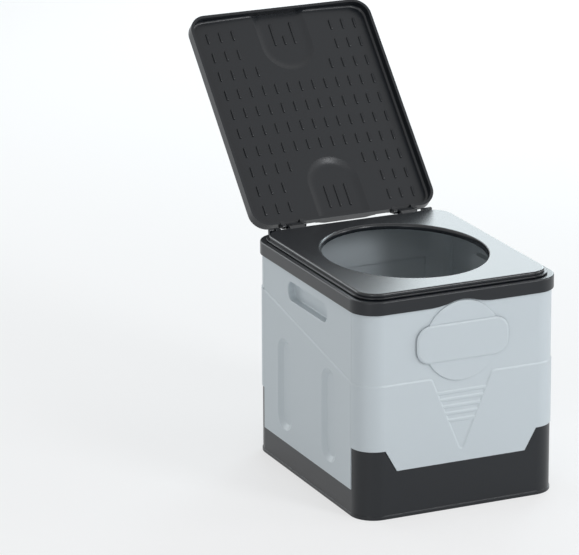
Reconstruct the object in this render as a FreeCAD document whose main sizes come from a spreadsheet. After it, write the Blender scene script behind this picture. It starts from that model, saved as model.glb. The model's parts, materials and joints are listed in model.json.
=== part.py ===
import FreeCAD, Part
import math
import os
import Sketcher

# Driving dimensions in millimetres. Heights are above the floor and places are from the middle of the box.
SIZES = {
    # Box
    "body_width": 300,  # outside width, left to right
    "body_depth": 350,  # outside depth, front to rear
    "body_height": 312,  # height of the top frame's upper face
    "corner_radius": 33,  # outside radius of the vertical corners
    "part_gap": 0.4,  # gap between neighbouring mouldings
    "overcut": 5,  # how far a cut runs past the material
    "bury": 0.5,  # how far a raised form is rooted in its wall
    # Base tray
    "base_wall": 3,  # wall
    "base_floor": 3,  # floor
    "post_height": 98,  # height of the corner posts
    "notch_height": 68,  # front and rear wall height in the notch
    "notch_half": 98,  # half width of the notch at its bottom
    "notch_flare": 17,  # how much wider the notch is at its top, each side
    "side_wall": 38,  # height of the low side walls
    "flange_out": 1,  # how far the foot flange stands out
    "flange_height": 5,  # height of the foot flange
    "flange_edge": 0.7,  # rounding of the foot flange
    # Panels
    "panel_wall": 4,  # thickness
    "panel_proud": 1.2,  # how far the lower field stands out
    "panel_head": 0.8,  # gap between the panel tops and the frame
    "front_step": 193,  # height of the step line at the front
    "rear_step": 244,  # height of the step line at the rear
    "inside_rise": 4,  # rear panel's inner step line above the outer one
    "inside_sink": 2.2,  # depth of the rear panel's inner field
    "vee_half": 45,  # half width of the front vee at the step line
    "vee_depth": 109,  # drop from the step line to the vee's point
    "vee_round": 7,  # rounding where the vee meets the step line
    "vee_point": 2.5,  # rounding of the vee's point
    "field_edge": 1.1,  # rounding of the lower field's lower edge
    "ledge_high": 2.4,  # height of the slope along the lower field's edge
    "ledge_deep": 1.1,  # depth of the slope along the lower field's edge
    "rib_count": 5,  # ribs in the vee
    "rib_height": 2.6,  # height of a rib's flat crest
    "rib_proud": 1,  # how far a rib stands out of the vee
    "rib_run": 1.8,  # width of a rib's sloping sides
    "rib_pitch": 10.2,  # spacing of the ribs
    "rib_drop": 25,  # top rib below the step line
    "rib_overlap": 2.2,  # how far a rib's crest runs into the vee's flank
    "disc_radius": 57,  # radius of the raised disc on the front
    "disc_rise": 6,  # how far the disc reaches above the frame's lower edge
    "disc_proud": 2.2,  # how far the disc stands out
    "disc_edge": 1,  # rounding of the disc's edge
    "badge_half": 69.5,  # half length of the blank plate over the disc
    "badge_half_height": 27,  # half height of the blank plate
    "badge_corner": 21,  # corner radius of the blank plate
    "badge_thick": 2.2,  # thickness of the blank plate
    "badge_slope_deep": 1,  # depth of the slope round the blank plate
    "badge_slope_wide": 2.6,  # width of the slope round the blank plate
    # Handle cups and flutes of the side panels
    "cup_half": 63,  # half length of a cup
    "cup_drop": 29.2,  # cup's upper edge below the panel's top
    "cup_height": 27,  # height of a cup
    "cup_radius": 12,  # corner radius
    "cup_depth": 11,  # depth
    "cup_wall": 3,  # wall behind and around a cup
    "cup_edge": 1.5,  # rounding of a cup's rim and floor
    "flute_offset": 72,  # flute centre from the middle of the panel
    "flute_half": 23,  # half width of a flute
    "flute_rise": 18,  # flute's lower end above the panel's lower edge
    "flute_long": 134,  # length of a flute
    "flute_radius": 21,  # radius of the ends
    "flute_depth": 5,  # depth
    "flute_slope": 8,  # width of the sloping flank all round a flute
    "flute_hollow": 5,  # rounding between a flute's flank and floor
    "flute_edge": 2,  # rounding of a flute's rim
    "flute_wall": 3,  # wall behind and around a flute
    # Panel hinges
    "rod_radius": 2,  # radius of the rods and pins
    "rod_play": 0.05,  # radial running clearance
    "knuckle": 4,  # radius of the knuckles
    "left_in": 4.5,  # left axis inboard of the panel's inner face
    "left_up": 0,  # left axis above the side wall
    "right_in": 10,  # right axis inboard of the panel's inner face
    "right_up": 10.5,  # right axis above the side wall
    "front_in": 4,  # front axis inboard of the panel's inner face
    "front_down": 7,  # front axis below the notch
    "rear_in": 6,  # rear axis inboard of the panel's inner face
    "rear_down": 2,  # rear axis below the notch
    "side_lug_at": 120,  # outer side lugs of the base from the middle
    "side_lug_half": 8,  # half width of a side lug
    "side_ear_at": 60,  # side panel knuckles from the middle
    "side_ear_half": 26,  # half width of a side panel knuckle
    "end_lug_at": 84,  # front and rear lugs of the base from the middle
    "end_lug_half": 7,  # half width of a front or rear lug
    "end_ear_at": 60,  # front and rear panel knuckles from the middle
    "end_ear_half": 14,  # half width of a front or rear panel knuckle
    "lug_root": 16,  # drop of a lug's root below its axis
    "lug_slope": 8,  # height of the slope under a lug
    "lug_step": 4,  # step between a lug's root and its knuckle
    "right_shelf": 12,  # shelf of the right lugs below their axis
    "ear_root": 9,  # rise of a knuckle's root above its axis
    "ear_long": 22,  # rise of an end knuckle's long root above its axis
    # Top frame
    "frame_out": 3,  # how far the frame stands out from the box
    "frame_band": 19,  # height of the frame's band
    "frame_plate": 3,  # thickness of the frame's plate
    "frame_edge": 2,  # rounding of the frame's top edge
    "open_gap": 4,  # gap between the seat's lip and the frame's opening
    "arch_gap": 1.6,  # gap between the disc and the frame's arch
    "arch_blend": 110,  # radius that blends the arch into the band's edge
    # Seat
    "ring_gap": 0.6,  # bag ring above the frame
    "ring_thick": 2.6,  # thickness of the bag ring
    "ring_inset": 4.5,  # bag ring's edge inside the box's faces
    "ring_edge": 0.9,  # rounding of the bag ring's edges
    "seat_thick": 4.8,  # thickness of the seat plate
    "seat_inset": 8.8,  # seat plate's edge inside the box's faces
    "seat_edge": 2.6,  # rounding of the seat plate's top edge
    "hole_half_x": 112,  # half width of the opening
    "hole_half_y": 129.5,  # half depth of the opening
    "hole_shift": 2,  # opening's centre along the depth
    "hole_edge": 4,  # rounding of the opening's edge
    "lip_wide": 9,  # width of the lip under the opening
    "lip_clear": 3,  # lip's lower edge above the frame plate's underside
    "bumper_radius": 5,  # radius of the seat bumpers
    "bumper_gap": 0.1,  # bumpers above the frame
    "bumper_sink": 1.6,  # depth of the bumpers' seats in the bag ring
    "bumper_inset_x": 19.5,  # bumpers inside the ring's sides
    "bumper_inset_y": 30.5,  # bumpers inside the ring's ends
    # Seat hinge
    "seat_axis_up": 1.8,  # axis above the seat plate's underside
    "seat_knuckle": 3,  # radius of the knuckles
    "seat_pin": 1.5,  # radius of the pins
    "seat_ear_space": 6.2,  # gap between a lid ear and a seat knuckle
    "seat_ear_wide": 7.6,  # width of a seat knuckle
    "frame_ear_wide": 8,  # width of a frame knuckle
    "seat_root": 3,  # how far knuckles and tabs root in the seat plate
    # Lid hinge
    "lid_axis_back": 3.5,  # axis behind the box's rear face
    "lid_axis_drop": 1.2,  # axis below the seat's top
    "lid_knuckle": 3.5,  # radius of the knuckles
    "lid_pin": 2,  # radius of the pins
    "tab_at": 87.5,  # hinge tabs from the middle
    "tab_wide": 23.8,  # width of a hinge tab
    "tab_flat": 10,  # flat length on top of a hinge tab
    "ear_wide": 6,  # width of a lid ear
    "lid_open": 133.8,  # angle of the lid from closed, degrees
    # Lid, from its hinge axis with the lid closed
    "lid_gap": 0.4,  # rim above the seat's top
    "lid_side": 6.9,  # lid's sides inside the box's faces
    "lid_nose": 0.6,  # lid's front edge behind the box's front face
    "lid_rear": 5.9,  # lid's rear edge in front of the hinge axis
    "lid_corner": 26,  # corner radius
    "lid_skirt": 4,  # thickness of the skirt
    "lid_plate": 4,  # thickness of the top
    "lid_side_rise": 17.5,  # rise at the sides above the rim
    "lid_mid_rise": 12,  # rise along the middle above the rim
    "lid_edge": 3,  # rounding of the outer edge
    "lid_cove": 3.5,  # rounding inside, between top and skirt
    "dome_half": 46,  # half width of the domes at their foot
    "dome_straight": 58,  # straight length of the domes
    "dome_rise": 15.5,  # rise of the domes above the rim
    "dome_root": 1.6,  # root of the domes above the plate's underside
    "dome_sink": 0.3,  # how far the flank's foot starts inside the plate
    "dome_run": 18,  # width of the domes' curved flank
    "dome_wall": 1.2,  # how much wider the domes are outside than inside
    "slot_wide": 1.8,  # width of a slot
    "slot_long": 16.5,  # length of a slot
    "slot_pitch_x": 19.5,  # spacing of the slots across
    "slot_pitch_y": 31.6,  # spacing of the slots along
    "slot_first": 29.5,  # first slot row from the rear edge
    "dome_slot_long": 36,  # length of a dome slot
    "dome_slot_short": 15,  # length of the short dome slot
    "dome_slot_pitch": 15.7,  # spacing of the dome slots
    "dome_slot_at": 38.5,  # dome slot centre from the lid's edge
    "notch_rise": 6,  # height of the skirt's notches over the hinge tabs
    "lid_ear_rise": 9,  # rise of a lid ear's root above the rim
    # Knob on the lid's front dome
    "knob_at": 33,  # centre from the lid's front edge
    "collar_radius": 12,  # radius of the collar
    "collar_height": 5,  # height of the collar
    "collar_foot": 1.2,  # height of the collar's foot
    "collar_waist": 2.2,  # how far the collar draws in
    "collar_play": 0.3,  # gap between collar and knob
    "knob_radius": 8,  # radius of the cap
    "knob_height": 9,  # height of the cap
    "knob_bevel": 1.5,  # bevel of the cap
    "screw_head": 4,  # radius of the screw's head
    "screw_head_gap": 0.4,  # gap round the screw's head
    "screw_sink": 3,  # depth of the head's seat in the cap
    "screw_shank": 2,  # radius of the screw's shank
    "screw_bite": 1.8,  # depth of the screw in the dome
}

doc = FreeCAD.newDocument("PortableToilet")
sheet = doc.addObject("Spreadsheet::Sheet", "Sizes")
for row, (alias, value) in enumerate(SIZES.items(), start=1):
    sheet.set("A%d" % row, alias.replace("_", " "))
    sheet.set("B%d" % row, "%g" % value)
    sheet.setAlias("B%d" % row, alias)
doc.recompute()

UP = FreeCAD.Vector(0, 0, 1)
PLANE_ROLE = {"XY": "XY_Plane", "XZ": "XZ_Plane", "YZ": "YZ_Plane"}
AXIS_TURN = {
    "X": FreeCAD.Rotation(FreeCAD.Vector(0, 1, 0), 90),
    "Y": FreeCAD.Rotation(FreeCAD.Vector(1, 0, 0), -90),
    "Z": FreeCAD.Rotation(),
}
NEAR = 0.01


class Size:
    """A length in millimetres together with the sheet expression that drives it."""

    def __init__(self, text, value):
        self.text = text
        self.value = value

    def joined(self, sign, other, value):
        return Size("(%s %s %s)" % (self.text, sign, other.text), value)

    def __add__(self, other):
        other = as_size(other)
        return self.joined("+", other, self.value + other.value)

    def __sub__(self, other):
        other = as_size(other)
        return self.joined("-", other, self.value - other.value)

    def __mul__(self, other):
        other = as_size(other)
        return self.joined("*", other, self.value * other.value)

    def __truediv__(self, other):
        other = as_size(other)
        return self.joined("/", other, self.value / other.value)

    def __neg__(self):
        return Size("(0 - %s)" % self.text, -self.value)

    def __radd__(self, other):
        return as_size(other) + self

    def __rsub__(self, other):
        return as_size(other) - self

    def __rmul__(self, other):
        return as_size(other) * self

    def root(self):
        return Size("sqrt(%s)" % self.text, math.sqrt(self.value))


class SheetSizes:
    """The sheet's sizes, read by name."""

    def __getattr__(self, alias):
        return Size("Sizes." + alias, float(SIZES[alias]))


def as_size(value):
    if isinstance(value, Size):
        return value
    return Size("%.6g" % value, float(value))


size = SheetSizes()
ZERO = as_size(0)


def new_body(label):
    body = doc.addObject("PartDesign::Body", label)
    body.Label = label
    return body


def new_sketch(body, name, plane, level):
    """Make a sketch on one of the body's origin planes, moved to a level along that plane's axis."""
    sketch = body.newObject("Sketcher::SketchObject", name)
    for feature in body.Origin.OriginFeatures:
        if feature.Role == PLANE_ROLE[plane]:
            sketch.AttachmentSupport = [(feature, "")]
    sketch.MapMode = "FlatFace"
    offset = -level if plane == "XZ" else level
    sketch.setExpression("AttachmentOffset.Base.z", offset.text)
    return sketch


def point_of(pair):
    return FreeCAD.Vector(as_size(pair[0]).value, as_size(pair[1]).value, 0)


def bind(sketch, kind, where, value):
    """Add a dimension to a sketch and drive it from the sheet."""
    value = as_size(value)
    index = sketch.addConstraint(Sketcher.Constraint(kind, *where, value.value))
    sketch.setExpression("Constraints[%d]" % index, value.text)


def draw_outline(sketch, points):
    """Draw a closed outline; a third value on a point is the radius of the arc that reaches it."""
    spans = []
    for i, end in enumerate(points):
        first = point_of(points[i - 1])
        last = point_of(end)
        if len(end) == 2:
            spans.append((sketch.addGeometry(Part.LineSegment(first, last)), 1, 2))
            continue
        radius = as_size(end[2]).value
        side = math.copysign(1, radius)
        chord = last.sub(first)
        height = math.sqrt(max(radius * radius - chord.Length ** 2 / 4, 0))
        normal = FreeCAD.Vector(-chord.y, chord.x, 0).normalize()
        centre = (first + last) * 0.5 + normal * (side * height)
        from_angle = math.atan2(first.y - centre.y, first.x - centre.x)
        to_angle = math.atan2(last.y - centre.y, last.x - centre.x)
        circle = Part.Circle(centre, UP, abs(radius))
        if side > 0:
            spans.append((sketch.addGeometry(Part.ArcOfCircle(circle, from_angle, to_angle)), 1, 2))
        else:
            spans.append((sketch.addGeometry(Part.ArcOfCircle(circle, to_angle, from_angle)), 2, 1))
    for i, (geometry, start, end) in enumerate(spans):
        following = spans[(i + 1) % len(spans)]
        sketch.addConstraint(Sketcher.Constraint("Coincident", geometry, end, following[0], following[1]))
    for i, (geometry, start, end) in enumerate(spans):
        bind(sketch, "DistanceX", (geometry, start), points[i - 1][0])
        bind(sketch, "DistanceY", (geometry, start), points[i - 1][1])
        if len(points[i]) == 3:
            radius = as_size(points[i][2])
            bind(sketch, "Radius", (geometry,), radius if radius.value > 0 else -radius)


def draw_circle(sketch, x, y, radius):
    geometry = sketch.addGeometry(Part.Circle(point_of((x, y)), UP, as_size(radius).value))
    bind(sketch, "DistanceX", (geometry, 3), x)
    bind(sketch, "DistanceY", (geometry, 3), y)
    bind(sketch, "Radius", (geometry,), radius)


def draw_oval(sketch, y, half_x, half_y):
    """Draw an ellipse on the middle line, longer along the depth."""
    ends = [point_of((0, y + half_y)), point_of((half_x, y)), point_of((0, y))]
    geometry = sketch.addGeometry(Part.Ellipse(*ends))
    sketch.exposeInternalGeometry(geometry)
    bind(sketch, "DistanceX", (geometry, 3), 0)
    bind(sketch, "DistanceY", (geometry, 3), y)
    bind(sketch, "DistanceX", (geometry + 1, 1), 0)
    bind(sketch, "DistanceY", (geometry + 1, 1), y + half_y)
    bind(sketch, "DistanceX", (geometry + 2, 2), half_x)


def draw(sketch, shapes):
    for shape in shapes:
        if shape[0] == "circle":
            draw_circle(sketch, *shape[1:])
        elif shape[0] == "oval":
            draw_oval(sketch, *shape[1:])
        else:
            draw_outline(sketch, shape)


def slope_sides(feature, run, height, sign):
    """Tilt a feature's sides so that they run in or out by a width over its height."""
    feature.setExpression("TaperAngle", "%d * atan(%s / %s)" % (sign, run.text, height.text))


def add(body, name, plane, low, high, shapes, draw_in=None):
    """Add material between two levels along the plane's axis; draw_in narrows it towards the far level."""
    low = as_size(low)
    high = as_size(high)
    sketch = new_sketch(body, name + "Sketch", plane, high if plane == "XZ" else low)
    draw(sketch, shapes)
    feature = body.newObject("PartDesign::Pad", name)
    feature.Profile = sketch
    feature.setExpression("Length", (high - low).text)
    if draw_in:
        slope_sides(feature, draw_in, high - low, -1)
    return feature


def cut(body, name, plane, low, high, shapes, spread=None):
    """Remove material between two levels along the plane's axis; spread widens it with depth."""
    low = as_size(low)
    high = as_size(high)
    sketch = new_sketch(body, name + "Sketch", plane, low if plane == "XZ" else high)
    draw(sketch, shapes)
    feature = body.newObject("PartDesign::Pocket", name)
    feature.Profile = sketch
    feature.setExpression("Length", (high - low).text)
    if spread:
        slope_sides(feature, spread, high - low, 1)
    return feature


def turn(body, name, points, y=ZERO, kind="PartDesign::Revolution"):
    """Add or remove a solid turned about a vertical axis on the middle line, from a half section."""
    sketch = new_sketch(body, name + "Sketch", "XZ", y)
    draw(sketch, [points])
    feature = body.newObject(kind, name)
    feature.Profile = sketch
    feature.ReferenceAxis = (sketch, ["V_Axis"])
    feature.Angle = 360
    return feature


def grid(body, feature, columns, lines, across, along):
    """Repeat a cut in columns to the right and lines to the front."""
    pattern = body.newObject("PartDesign::LinearPattern", feature.Name + "Grid")
    pattern.Originals = [feature]
    pattern.Direction = (feature.Profile[0], ["H_Axis"])
    pattern.Occurrences = columns
    pattern.setExpression("Length", (across * (columns - 1)).text)
    pattern.Direction2 = (feature.Profile[0], ["V_Axis"])
    pattern.Reversed2 = True
    pattern.Occurrences2 = lines
    pattern.setExpression("Length2", (along * (lines - 1)).text)
    body.Tip = pattern
    return pattern


def soften(body, name, radius, wanted):
    """Round the edges of the body's present shape whose bounding box the test picks."""
    doc.recompute()
    base = body.Tip
    edges = ["Edge%d" % (i + 1) for i, edge in enumerate(base.Shape.Edges) if wanted(edge.BoundBox)]
    feature = body.newObject("PartDesign::Fillet", name)
    feature.Base = (base, edges)
    feature.setExpression("Radius", radius.text)
    return feature


def level(low, high, height):
    """True where an edge's extent along one axis is a single place."""
    return abs(low - height.value) < NEAR and abs(high - height.value) < NEAR


def slope_edge(body, name, deep, wide, wanted):
    """Slope the edges that the test picks: a depth into the piece and a width along its outer face."""
    doc.recompute()
    base = body.Tip
    edges = ["Edge%d" % (i + 1) for i, edge in enumerate(base.Shape.Edges) if wanted(edge.BoundBox)]
    feature = body.newObject("PartDesign::Chamfer", name)
    feature.Base = (base, edges)
    feature.ChamferType = "Two distances"
    feature.setExpression("Size", deep.text)
    feature.setExpression("Size2", wide.text)
    return feature


def length(value):
    return value.value


def reach_x(box):
    return max(-box.XMin, box.XMax)


def oblong(x_low, y_low, x_high, y_high, r):
    """Outline of a rectangle with round corners."""
    return [
        (x_low + r, y_low, r),
        (x_high - r, y_low),
        (x_high, y_low + r, r),
        (x_high, y_high - r),
        (x_high - r, y_high, r),
        (x_low + r, y_high),
        (x_low, y_high - r, r),
        (x_low, y_low + r),
    ]


def centred(half_x, half_y, r):
    return oblong(-half_x, -half_y, half_x, half_y, r)


def block(x_low, y_low, x_high, y_high):
    """Outline of a plain rectangle."""
    return [(x_low, y_low), (x_high, y_low), (x_high, y_high), (x_low, y_high)]


# Places that several pieces share
half_w = size.body_width / 2
half_d = size.body_depth / 2
straight_y = half_d - size.corner_radius
straight_x = half_w - size.corner_radius
bore = size.rod_radius + size.rod_play
over = size.overcut
frame_top = size.body_height
frame_under = frame_top - size.frame_plate
frame_low = frame_top - size.frame_band
panel_top = frame_under - size.panel_head
panel_low = size.side_wall + size.part_gap
end_low = size.notch_height + size.part_gap
ring_low = frame_top + size.ring_gap
seat_low = ring_low + size.ring_thick
seat_top = seat_low + size.seat_thick
left_inner = size.panel_wall - half_w
right_inner = half_w - size.panel_wall
front_inner = size.panel_wall - half_d
rear_inner = half_d - size.panel_wall

# Hinge axes of the four panels
left_x = left_inner + size.left_in
left_z = size.side_wall + size.left_up
right_x = right_inner - size.right_in
right_z = size.side_wall + size.right_up
front_y = front_inner + size.front_in
front_z = size.notch_height - size.front_down
rear_y = rear_inner - size.rear_in
rear_z = size.notch_height - size.rear_down

# Base tray with posts at the corners, low walls at the sides and a notch front and rear
base = new_body("base_tray")
notch_top = size.notch_half + size.notch_flare
add(base, "BaseShell", "XY", ZERO, size.post_height, [centred(half_w, half_d, size.corner_radius)])
add(base, "FootFlange", "XY", ZERO, size.flange_height,
    [centred(half_w + size.flange_out, half_d + size.flange_out, size.corner_radius + size.flange_out)])
soften(base, "FlangeEdge", size.flange_edge,
       lambda box: level(box.ZMin, box.ZMax, size.flange_height) and (
           reach_x(box) > half_w.value + size.flange_out.value - NEAR
           or max(-box.YMin, box.YMax) > half_d.value + size.flange_out.value - NEAR))
cut(base, "TrayCavity", "XY", size.base_floor, size.post_height,
    [centred(half_w - size.base_wall, half_d - size.base_wall, size.corner_radius - size.base_wall)])
cut(base, "SideWindows", "YZ", -size.body_width, size.body_width,
    [block(-straight_y, size.side_wall, straight_y, size.post_height + over)])
cut(base, "EndNotches", "XZ", -size.body_depth, size.body_depth,
    [[(-size.notch_half, size.notch_height), (size.notch_half, size.notch_height),
      (notch_top, size.post_height), (notch_top, size.post_height + over),
      (-notch_top, size.post_height + over), (-notch_top, size.post_height)]])

k = size.knuckle
left_wall = size.base_wall + -half_w - size.bury
right_wall = half_w - size.base_wall + size.bury
front_wall = size.base_wall - half_d - size.bury
rear_wall = half_d - size.base_wall + size.bury
left_lug = [
    (left_wall, left_z - size.lug_root),
    (left_x + k, left_z - size.lug_slope),
    (left_x + k, left_z),
    (left_x, left_z + k, k),
    (left_x - k, left_z, k),
    (left_x - k, left_z - size.lug_step),
    (left_wall, left_z - size.lug_step),
]
right_lug = [
    (right_x - k, right_z - size.right_shelf - 2),
    (right_wall, right_z - size.right_shelf - size.lug_root + 2),
    (right_wall, right_z - size.right_shelf - 2),
    (right_x + k, right_z - size.right_shelf),
    (right_x + k, right_z),
    (right_x, right_z + k, k),
    (right_x - k, right_z, k),
]
front_lug = [
    (front_wall, front_z - size.lug_root),
    (front_y + k, front_z - size.lug_slope),
    (front_y + k, front_z),
    (front_y, front_z + k, k),
    (front_y - k * 0.8, front_z + k * 0.6, k),
    (front_y - k * 0.8, front_z - size.lug_step),
    (front_wall, front_z - size.lug_step),
]
rear_lug = [
    (rear_y - k, rear_z - size.lug_slope),
    (rear_wall, rear_z - size.lug_root - size.lug_step),
    (rear_wall, rear_z - size.lug_step - 2),
    (rear_y + k, rear_z - size.lug_step - 2),
    (rear_y + k, rear_z),
    (rear_y, rear_z + k, k),
    (rear_y - k, rear_z, k),
]
half = size.side_lug_half
for place, middle in (("A", -size.side_lug_at), ("B", ZERO), ("C", size.side_lug_at)):
    add(base, "LeftLug" + place, "XZ", middle - half, middle + half, [left_lug])
    add(base, "RightLug" + place, "XZ", middle - half, middle + half, [right_lug])
half = size.end_lug_half
for place, middle in (("A", -size.end_lug_at), ("B", size.end_lug_at)):
    add(base, "FrontLug" + place, "YZ", middle - half, middle + half, [front_lug])
    add(base, "RearLug" + place, "YZ", middle - half, middle + half, [rear_lug])
side_rod_half = size.side_lug_at + size.side_lug_half
end_rod_to = size.end_lug_at + size.end_lug_half
cut(base, "SideBores", "XZ", -(side_rod_half + over), side_rod_half + over,
    [("circle", left_x, left_z, bore), ("circle", right_x, right_z, bore)])
cut(base, "EndBores", "YZ", -(end_rod_to + over), end_rod_to + over,
    [("circle", front_y, front_z, bore), ("circle", rear_y, rear_z, bore)])


def wrapped_wall(outer, thickness, facing):
    """Plan of an end panel that wraps the two corners; outer is how far its face stands out."""
    x = half_w + outer
    y = half_d + outer
    r = size.corner_radius + outer
    inner = r - thickness
    way = -facing
    return [
        (-x, facing * (y - r)),
        (r - x, facing * y, way * r),
        (x - r, facing * y),
        (x, facing * (y - r), way * r),
        (x - thickness, facing * (y - r)),
        (x - r, facing * (y - thickness), -way * inner),
        (r - x, facing * (y - thickness)),
        (thickness - x, facing * (y - r), -way * inner),
    ]


def post_reliefs():
    """Two outlines that clear the corner posts left and right of the notch."""
    reach = half_w + over
    low = end_low - over
    top = size.post_height + size.part_gap
    near_low = size.notch_half - size.part_gap
    near_top = notch_top - size.part_gap
    return [
        [(-reach, low), (-near_low, low), (-near_low, end_low), (-near_top, top), (-reach, top)],
        [(near_low, low), (reach, low), (reach, top), (near_top, top), (near_low, end_low)],
    ]


def end_ear(axis_y, axis_z, facing, inner_face):
    """Section of an end panel's knuckle, joined to the panel's inner face."""
    way = -facing
    root = inner_face + facing * size.bury
    return [
        (root, axis_z + size.ear_long),
        (root, axis_z + size.ear_root),
        (axis_y + facing * k, axis_z + size.lug_step),
        (axis_y + facing * k, axis_z),
        (axis_y, axis_z - k, way * k),
        (axis_y - facing * k, axis_z, way * k),
        (axis_y - facing * k, axis_z + size.lug_step),
    ]


def add_end_ears(body, name, axis_y, axis_z, facing, inner_face):
    """Two knuckles on an end panel, with the bore for their pins."""
    ear_half = size.end_ear_half
    for place, middle in (("A", -size.end_ear_at), ("B", size.end_ear_at)):
        add(body, name + "Ear" + place, "YZ", middle - ear_half, middle + ear_half,
            [end_ear(axis_y, axis_z, facing, inner_face)])
    reach = size.end_ear_at + ear_half + over
    cut(body, name + "Bore", "YZ", -reach, reach, [("circle", axis_y, axis_z, bore)])


# Front panel with its wrapped corners, stepped lower field, vee, ribs and disc
front = new_body("front_panel")
step = size.front_step
field_face = half_d + size.panel_proud
disc_z = frame_low - size.disc_radius + size.disc_rise
add(front, "FrontWall", "XY", end_low, panel_top, [wrapped_wall(ZERO, size.panel_wall, -1)])
add(front, "FrontField", "XY", end_low, step,
    [wrapped_wall(size.panel_proud, size.panel_proud + size.bury, -1)])
cut(front, "FrontPosts", "XZ", -(half_d + over), size.part_gap - straight_y, post_reliefs())
flank = (size.vee_half * size.vee_half + size.vee_depth * size.vee_depth).root()
point_x = size.vee_point * size.vee_depth / flank
point_z = step - size.vee_depth + point_x * size.vee_depth / size.vee_half
cut(front, "FrontVee", "XZ", -(half_d + over), -half_d,
    [[(-size.vee_half, step), (-point_x, point_z), (point_x, point_z, size.vee_point), (size.vee_half, step),
      (size.vee_half, step + over), (-size.vee_half, step + over)]])
soften(front, "VeeRound", size.vee_round,
       lambda box: level(box.ZMin, box.ZMax, step) and abs(reach_x(box) - size.vee_half.value) < NEAR
       and box.XLength < NEAR)
slope_edge(front, "FieldEdge", size.ledge_deep, size.ledge_high,
           lambda box: box.YMin < NEAR - field_face.value and (
               level(box.ZMin, box.ZMax, step)
               or level(box.YMin, box.YMax, -field_face) and box.ZMin > (step - size.vee_depth).value
               and box.ZLength > NEAR))
soften(front, "FieldFoot", size.field_edge,
       lambda box: box.YMin < NEAR - field_face.value and box.ZLength < NEAR
       and (step - size.vee_depth).value < box.ZMin < step.value - size.ledge_high.value - NEAR)
rib_depth = size.rib_proud + size.bury
rib_spread = size.rib_run * rib_depth / size.rib_proud
for i in range(SIZES["rib_count"]):
    rib_drop = size.rib_drop + size.rib_pitch * i
    rib_half = (size.vee_half * (size.vee_depth - rib_drop) / size.vee_depth + size.rib_overlap
                + rib_spread)
    rib_low = step - rib_drop
    add(front, "VeeRib%d" % i, "XZ", -(half_d + size.rib_proud), size.bury - half_d,
        [block(-rib_half, rib_low - rib_spread, rib_half, rib_low + size.rib_height + rib_spread)],
        rib_spread)
add(front, "FrontDisc", "XZ", -(half_d + size.disc_proud), size.bury - half_d,
    [("circle", 0, disc_z, size.disc_radius)])
soften(front, "DiscEdge", size.disc_edge,
       lambda box: level(box.YMin, box.YMax, -(half_d + size.disc_proud)))
add_end_ears(front, "Front", front_y, front_z, -1, front_inner)

# Rear panel, plain, with the step line shown inside as well
rear = new_body("rear_panel")
add(rear, "RearWall", "XY", end_low, panel_top, [wrapped_wall(ZERO, size.panel_wall, 1)])
add(rear, "RearField", "XY", end_low, size.rear_step,
    [wrapped_wall(size.panel_proud, size.panel_proud + size.bury, 1)])
cut(rear, "RearPosts", "XZ", straight_y - size.part_gap, half_d + over, post_reliefs())
cut(rear, "RearInside", "XZ", rear_inner - over, rear_inner + size.inside_sink,
    [block(-straight_x, size.post_height, straight_x, size.rear_step + size.inside_rise)])
add_end_ears(rear, "Rear", rear_y, rear_z, 1, rear_inner)

cup_high = panel_top - size.cup_drop
cup_low = cup_high - size.cup_height
flute_low = panel_low + size.flute_rise
flute_high = flute_low + size.flute_long


def cup_plan(extra):
    reach = size.cup_half + extra
    return oblong(-reach, cup_low - extra, reach, cup_high + extra, size.cup_radius + extra)


def flute_plan(side, extra):
    middle = size.flute_offset * side
    reach = size.flute_half + extra
    radius = size.flute_radius + extra
    return oblong(middle - reach, flute_low - extra, middle + reach, flute_high + extra, radius)


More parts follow.
